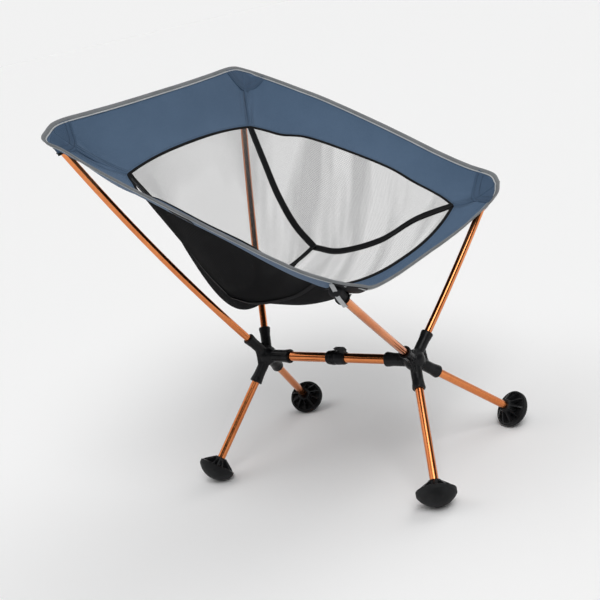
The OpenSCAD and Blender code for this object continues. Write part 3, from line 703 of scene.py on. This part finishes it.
def strap_frames(side, rows=160):
    t = np.linspace(0, 1, rows)
    f = side_panel(side)
    path = turned(strap_line(t), side) * MM
    inward = np.zeros_like(path)
    for g, lo, hi in ((back_panel, 0, JUNCTION_SHARE), (seat_panel, JUNCTION_SHARE, 1)):
        s = np.clip((t - lo) / (hi - lo), 0, 1)
        here = (t >= lo) & (t <= hi)
        inward[here] = inward_normal(g, np.full(rows, 0.9 * side), s)[here]
    outer = inward_normal(f, np.full(rows, 0.1), t)
    up = unit(inward + outer)
    for _ in range(6):
        up[1:-1] = unit(up[:-2] + 2 * up[1:-1] + up[2:])
    along = lengthwise(path)
    up = unit(up - along * np.sum(up * along, -1, keepdims=True))
    return path, np.cross(along, up), up


def build_webbing():
    profile = rounded(WEBBING_WIDTH, WEBBING_THICKNESS)
    lines = []
    for name, side in (("left", -1), ("right", 1)):
        path, across, up = strap_frames(side)
        piece = sweep(f"{name}_strap_webbing", path + up * WEBBING_THICKNESS, across, up, profile, BLACK_TAPE)
        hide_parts(f"webbing_{name}")
        for s in (-1, 1):
            lines.append((path + up * 0.0026 + across * 0.0042 * s, up))
        outer = sweep(f"{name}_strap_tape", path - up * 0.0014, across, up, rounded(0.009, 0.0010),
                      BLACK_TAPE)
    share = np.linspace(-1, 1, 90)
    path = back_panel(share, np.full_like(share, 0.995))
    along = lengthwise(path)
    flat = unit(np.cross(np.array((0, 0, 1.0)), along))
    up = np.cross(along, flat)
    raised = path + up * 0.0030
    piece = sweep("cross_strap_webbing", raised, flat, up, profile, BLACK_TAPE)
    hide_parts("webbing_cross")
    for s in (-1, 1):
        lines.append((raised + up * 0.0010 + flat * 0.0042 * s, up))
    stitches("webbing_stitches", lines, BLACK_THREAD)


def corner_surfaces(end, side):
    """Each corner's two bands, with the side of v on which the corner lies."""
    if end == "rear":
        return (side_band(side), 0.0), (back_band, 1.0 if side > 0 else 0.0)
    return (side_band(side), 1.0), (front_band, 1.0 if side > 0 else 0.0)


def sector(f, v_end, centre, mitre, radius, rings=10, arcs=16):
    """A quarter-moon on a band, from the mitre seam to the rim, as a grid of (u, v)."""
    guess = (0.15, 0.06 if v_end == 0 else 0.94)
    rim_ahead = unit(f(np.array([0.02]), np.array([0.16 if v_end == 0 else 0.84]))[0] - centre)
    sideways = unit(rim_ahead - mitre * (rim_ahead @ mitre))
    edge = math.acos(float(np.clip(rim_ahead @ mitre, -1, 1)))
    r = np.linspace(0.0, radius, rings + 1)[1:]
    a = np.linspace(0.0, edge, arcs + 1)
    rr, aa = np.meshgrid(r, a, indexing="ij")
    shape = 1.0 - 0.12 * np.sin(aa / edge * math.pi) ** 2
    heading = mitre * np.cos(aa)[..., None] + sideways * np.sin(aa)[..., None]
    targets = centre + heading * (rr * shape)[..., None]
    uv = onto(f, guess, targets.reshape(-1, 3)).reshape(rings, arcs + 1, 2)
    uv[..., 0] = np.maximum(uv[..., 0], 0.03)
    return uv


def build_corners():
    for key in KEYS:
        end, name = key.split("_")
        side = -1 if name == "left" else 1
        main = side_band(side)
        at = 0.0 if end == "rear" else 1.0
        one = np.array([1.0])
        centre = main(one * 0.05, one * at)[0]
        mitre = unit(main(one * 0.6, one * at)[0] - centre)
        points, faces, uvs, lines = [], [], [], []
        for f, v_end in corner_surfaces(end, side):
            uv = sector(f, v_end, centre, mitre, PATCH_RADIUS[end])
            u, v = uv[..., 0], uv[..., 1]
            n = inward_normal(f, u, v)
            p = f(u, v)
            for inner in (True, False):
                base = len(points)
                h = PATCH_HIGH if inner else PATCH_LOW
                points.extend((p + n * h).reshape(-1, 3))
                uvs.extend(np.stack([u * 0.08, v * 0.45], -1).reshape(-1, 2))
                rows, cols = u.shape
                block = grid_faces(rows - 1, cols - 1, base)
                faces.extend(block.tolist() if inner else block[:, ::-1].tolist())
            rows, cols = u.shape
            first = len(points) - 2 * rows * cols
            edge = ([c for c in range(cols)] + [r * cols + cols - 1 for r in range(1, rows)]
                    + [(rows - 1) * cols + c for c in range(cols - 2, -1, -1)]
                    + [r * cols for r in range(rows - 2, 0, -1)])
            for k, a in enumerate(edge):
                b = edge[(k + 1) % len(edge)]
                faces.append((first + a, first + b, first + b + rows * cols, first + a + rows * cols))
            for ring in (-2, -4):
                lines.append(((p + n * 0.0019)[ring], n[ring]))
        piece = make(f"{key}_corner_patch", points, faces, [BLUE_DARK], uv=uvs, sharp=50)
        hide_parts(f"patch_{key}")
        stitches(f"{key}_patch_stitches", lines, BLUE_THREAD, pitch=0.0026, length=0.0019, thick=0.0006)
        build_mitre(key, main, at, side, end)


def build_mitre(key, main, at, side, end):
    u = np.linspace(0.06, 0.985, 60)
    v = np.full_like(u, at)
    path = main(u, v)
    others = corner_surfaces(end, side)
    (f1, v1), (f2, v2) = others
    n = unit(inward_normal(f1, u, np.full_like(u, v1)) + inward_normal(f2, u, np.full_like(u, v2)))
    along = lengthwise(path)
    n = unit(n - along * np.sum(n * along, -1, keepdims=True))
    across = np.cross(along, n)
    sweep(f"{key}_mitre_seam", path + n * 0.0006, across, n, rounded(0.0042, 0.0014), BLUE_DARK,
          sharp=60)
    lines = []
    for f, v_end in others:
        step = 0.012 if v_end == 0 else -0.012
        w = v_end + np.full_like(u, step)
        p = f(u, w)
        away = p - path
        away = unit(away - along * np.sum(away * along, -1, keepdims=True))
        for d in (0.0042, 0.0078):
            inside = path + away * d
            uv = onto(f, (0.5, v_end + step), inside)
            m = inward_normal(f, uv[:, 0], uv[:, 1])
            lines.append((f(uv[:, 0], uv[:, 1]) + m * 0.0009, m))
    stitches(f"{key}_mitre_stitches", lines, BLUE_THREAD, pitch=0.003, length=0.0022, thick=0.0006)


# ---- Poles: places along their arcs -------------------------------------------------------

def pole_frame(key):
    """A function from the distance back from a pole's tip to its centre, heading and bow direction."""
    end, name = key.split("_")
    side = -1 if name == "left" else 1
    hub = REAR_HUB if end == "rear" else FRONT_HUB
    tip = (REAR_TIP if end == "rear" else FRONT_TIP) * np.array((side, 1, 1))
    bow = REAR_BOW if end == "rear" else FRONT_BOW
    chord = tip - hub
    c = np.linalg.norm(chord)
    up = chord / c
    pull = SLING_MIDDLE - tip
    out = -unit(pull - up * (pull @ up))
    radius = (c * c / 4 + bow * bow) / (2 * bow)
    half = math.asin(c / 2 / radius)
    middle = (hub + tip) / 2 - out * (radius - bow)

    def at(back):
        a = half - back / radius
        return (middle + (out * math.cos(a) + up * math.sin(a)) * radius,
                up * math.cos(a) - out * math.sin(a), out)
    return at


def build_pockets():
    rim = 28
    turn = np.linspace(0, 2 * math.pi, rim, False)
    for key in KEYS:
        at = pole_frame(key)
        end, name = key.split("_")
        f = side_band(-1 if name == "left" else 1)
        heading = at(0.0)[1]
        n = inward_normal(f, np.array([0.1]), np.array([0.0 if end == "rear" else 1.0]))[0]
        up = unit(n - heading * (n @ heading))
        across = np.cross(up, heading)
        reach = np.linspace(POCKET_LENGTH, -0.0035, 14)
        closing = dict(zip(range(11, 14), (0.94, 0.74, 0.36)))

        def ring(i, scale=1.0):
            s = i / (len(reach) - 1)
            wide, deep = (0.0086 + 0.0012 * s) * scale, (0.0082 - 0.0006 * s) * scale
            crease = 1 + 0.03 * np.sin(5 * turn + i * 0.7)
            offset = (across * (np.cos(turn) * wide * crease)[:, None]
                      + up * (np.sin(turn) * deep * crease)[:, None])
            return at(reach[i])[0] + offset * closing.get(i, 1.0)

        rings = [ring(i) for i in range(len(reach) - 1, -1, -1)] + [ring(i, 0.88) for i in range(11)]
        count = len(rings)
        points = np.concatenate(rings)
        faces = [(i * rim + k, i * rim + (k + 1) % rim, (i + 1) * rim + (k + 1) % rim, (i + 1) * rim + k)
                 for i in range(count - 1) for k in range(rim)]
        faces += [tuple(range(rim)), tuple((count - 1) * rim + k for k in range(rim))]
        uv = [(k / rim * 0.055, i * 0.003) for i in range(count) for k in range(rim)]
        cover = BLACK_CLOTH if end == "front" else BLUE_DARK
        piece = make(f"{key}_pole_pocket", points, faces, [cover], uv=uv, sharp=60)
        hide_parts(f"pocket_{key}")
        hem, head = at(0.0262)[:2]
        loop = hem + across * (np.cos(turn) * 0.0091)[:, None] + up * (np.sin(turn) * 0.0087)[:, None]
        sweep(f"{key}_pocket_hem", loop, unit(loop - hem), np.repeat([head], rim, 0),
              rounded(0.0012, 0.0036, 2), BLACK_TAPE, closed=True)
        if end == "front":
            build_lining(key, name, at)


def build_lining(key, name, at):
    """Black cloth under a front corner, and the tape loop that holds the pole's pocket to the rim."""
    side = -1 if name == "left" else 1
    ends = (0.0, 0.17) if side < 0 else (0.83, 1.0)
    for part, f, span, flat in (("front", front_band, (0.05, 0.93, *ends), (0.036, 0.067)),
                                ("side", side_band(side), (0.05, 0.93, 0.925, 1.0), (0.066, 0.028))):
        piece = shell(f"{key}_{part}_lining", f, span, 14, 18, 0.0009, [BLACK_CLOTH], lift=-0.0018,
                      size=(0.05, 0.45))
    rim_point = side_band(side)(np.array([0.06]), np.array([0.915]))[0]
    far_point = front_band(np.array([0.5]), np.array([0.09 if side < 0 else 0.91]))[0]
    below = np.array((0, 0, -1.0))
    centre = at(0.020)[0]
    outward = unit(np.array((side, -0.5, 0.0)))
    knots = [
        rim_point + below * 0.003,
        rim_point + (centre - rim_point) * 0.45 + outward * 0.006 + below * 0.002,
        at(0.016)[0] + outward * 0.0125,
        at(0.029)[0] + outward * 0.011 + below * 0.004,
        at(0.030)[0] - outward * 0.004 + below * 0.0125,
        mix(at(0.024)[0], far_point, 0.5) + below * 0.008,
        far_point + below * 0.004,
    ]
    path = spline(knots, np.linspace(0, 1, 70))
    along = lengthwise(path)
    away = unit(path - at(0.022)[0])
    away = unit(away - along * np.sum(away * along, -1, keepdims=True))
    sweep(f"{key}_tape_loop", path, np.cross(along, away), away, rounded(0.0060, 0.0014), SILVER_TAPE)


# ---- Hard pieces --------------------------------------------------------------------------

def finish_node(name, material, bevel=0.0, angle=35):
    o = nodes[name]
    o.data.materials.clear()
    o.data.materials.append(material)
    o.data.polygons.foreach_set("material_index", np.zeros(len(o.data.polygons), np.int32))
    if bevel:
        weld = o.modifiers.new("weld", "WELD")
        weld.merge_threshold = 0.00001
        m = o.modifiers.new("bevel", "BEVEL")
        m.width = bevel
        m.segments = 2
        m.limit_method = "ANGLE"
        m.angle_limit = math.radians(angle)


def build_hard():
    for name in nodes:
        if "cord" in name:
            finish_node(name, CORD)
        elif name.startswith(("rear_pole", "front_pole", "leg_")) or name == "crossbar":
            finish_node(name, COPPER)
        elif name.startswith("rear_ferrule"):
            finish_node(name, BARE)
        elif name.startswith(("clip", "foot_shell")):
            finish_node(name, PLASTIC, 0.0004)
        elif name.startswith("pole_cap"):
            finish_node(name, PLASTIC)
        elif name.startswith("foot_sole"):
            finish_node(name, RUBBER)


def web_plate(bm, centre, a, b, reach, thickness, hollow):
    """A thin plate between two sockets, with a hollow free edge."""
    x, z = unit(a), unit(np.cross(a, b))
    y = np.cross(z, x)
    turn = math.acos(float(np.clip(unit(a) @ unit(b), -1, 1)))
    near_end, far_end = np.array((reach, 0)), np.array((math.cos(turn), math.sin(turn))) * reach
    dip = (near_end + far_end) * hollow
    t = np.linspace(0, 1, 13)[:, None]
    edge = near_end * (1 - t) ** 2 + dip * 2 * t * (1 - t) + far_end * t ** 2
    outline = np.concatenate([[(0, 0)], edge])
    sides = []
    for h in (-0.5, 0.5):
        sides.append([bm.verts.new(centre + x * p[0] + y * p[1] + z * h * thickness) for p in outline])
    low, high = sides
    count = len(low)
    bm.faces.new(low[::-1])
    bm.faces.new(high)
    for i in range(count):
        j = (i + 1) % count
        bm.faces.new((low[i], low[j], high[j], high[i]))


def build_hubs():
    axes = {j["child"]: np.array(j["axis"]) for j in record["behaviour"]["joints"] if j["type"] == "slide"}
    for end, centre in (("rear", REAR_HUB), ("front", FRONT_HUB)):
        bm = bmesh.new()
        bm.from_mesh(nodes[f"{end}_hub"].data)
        bmesh.ops.remove_doubles(bm, verts=bm.verts, dist=0.00001)
        bar = np.array((0, -1.0 if end == "rear" else 1.0, 0))
        poles, legs = [], []
        for name in ("left", "right"):
            at = pole_frame(f"{end}_{name}")
            length = np.linalg.norm((REAR_TIP if end == "rear" else FRONT_TIP) - centre)
            poles.append(unit(at(length - 0.05)[0] - centre))
            legs.append(axes[f"leg_{end}_{name}"])
        pairs = [(poles[k], legs[k], 0.041, 0.30) for k in (0, 1)]
        pairs += [(poles[k], bar, 0.036, 0.26) for k in (0, 1)]
        pairs += [(legs[k], bar, 0.038, 0.26) for k in (0, 1)]
        pairs += [(poles[0], poles[1], 0.036, 0.28), (legs[0], legs[1], 0.034, 0.22)]
        for a, b, reach, hollow in pairs:
            web_plate(bm, centre, a, b, reach, WEB_THICKNESS, hollow)
        bmesh.ops.recalc_face_normals(bm, faces=bm.faces)
        mesh = bpy.data.meshes.new(f"{end}_hub_moulding")
        bm.to_mesh(mesh)
        bm.free()
        mesh.materials.append(PLASTIC)
        piece = bpy.data.objects.new(f"{end}_hub_moulding", mesh)
        bpy.context.scene.collection.objects.link(piece)
        remesh = piece.modifiers.new("remesh", "REMESH")
        remesh.mode = "VOXEL"
        remesh.voxel_size = HUB_VOXEL
        remesh.use_smooth_shade = True
        soften = piece.modifiers.new("soften", "SMOOTH")
        soften.factor = 0.5
        soften.iterations = 5
        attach(piece, "frame")
        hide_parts(f"{end}_hub")


def build_tag():
    f = side_band(-1)
    piece = shell("left_side_tag", f, (0.13, 0.26, 0.485, 0.53), 3, 6, 0.0006, [BLACK_TAPE], lift=-0.0013,
                  size=(0.08, 0.52))
    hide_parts("side_tag")


# ---- Studio -------------------------------------------------------------------------------

def build_studio():
    scene = bpy.context.scene
    mesh = bpy.data.meshes.new("floor")
    ring = [(FLOOR_RADIUS * math.cos(a), FLOOR_RADIUS * math.sin(a), 0)
            for a in np.linspace(0, 2 * math.pi, 64, False)]
    mesh.from_pydata(ring, [], [tuple(range(64))])
    floor = bpy.data.objects.new("floor", mesh)
    scene.collection.objects.link(floor)
    m = Maker("floor_pale", (0.97, 0.97, 0.97), 0.9, Specular_IOR_Level=0.1)
    mesh.materials.append(m.material)

    world = bpy.data.worlds.new("studio")
    scene.world = world
    world.use_nodes = True
    tree = world.node_tree
    at = tree.nodes.new("ShaderNodeTexCoord")
    parts = tree.nodes.new("ShaderNodeSeparateXYZ")
    ramp = tree.nodes.new("ShaderNodeValToRGB")
    tree.links.new(at.outputs["Generated"], parts.inputs[0])
    tree.links.new(parts.outputs[2], ramp.inputs[0])
    tree.links.new(ramp.outputs[0], tree.nodes["Background"].inputs["Color"])
    tree.nodes["Background"].inputs["Strength"].default_value = 1.0
    # Below the horizon and just above it the world is as bright as the lit floor, so no edge shows.
    horizon = 0.885
    stops = ((0.0, horizon), (0.13, horizon), (0.25, 0.03), (0.72, 0.03), (0.85, 0.9))
    while len(ramp.color_ramp.elements) < len(stops):
        ramp.color_ramp.elements.new(0.5)
    for element, (position, value) in zip(ramp.color_ramp.elements, stops):
        element.position = position
        element.color = (value, value, value, 1)

    for name, aim, spread, power in (
            ("key", (-0.55, -0.65, 1.1), 38, 1.25),
            ("fill", (0.9, -0.35, 0.9), 50, 0.55),
            ("back", (-0.3, 0.9, 0.8), 45, 0.5)):
        data = bpy.data.lights.new(name, "SUN")
        data.angle = math.radians(spread)
        data.energy = power
        light = bpy.data.objects.new(name, data)
        light.rotation_euler = Vector(aim).to_track_quat("Z", "Y").to_euler()
        scene.collection.objects.link(light)
    scene.view_settings.view_transform = "Standard"
    scene.view_settings.exposure = 0.0


build_hard()
build_hubs()
build_cloth()
build_binding()
build_seam_tapes()
build_webbing()
build_corners()
build_pockets()
build_tag()
build_studio()
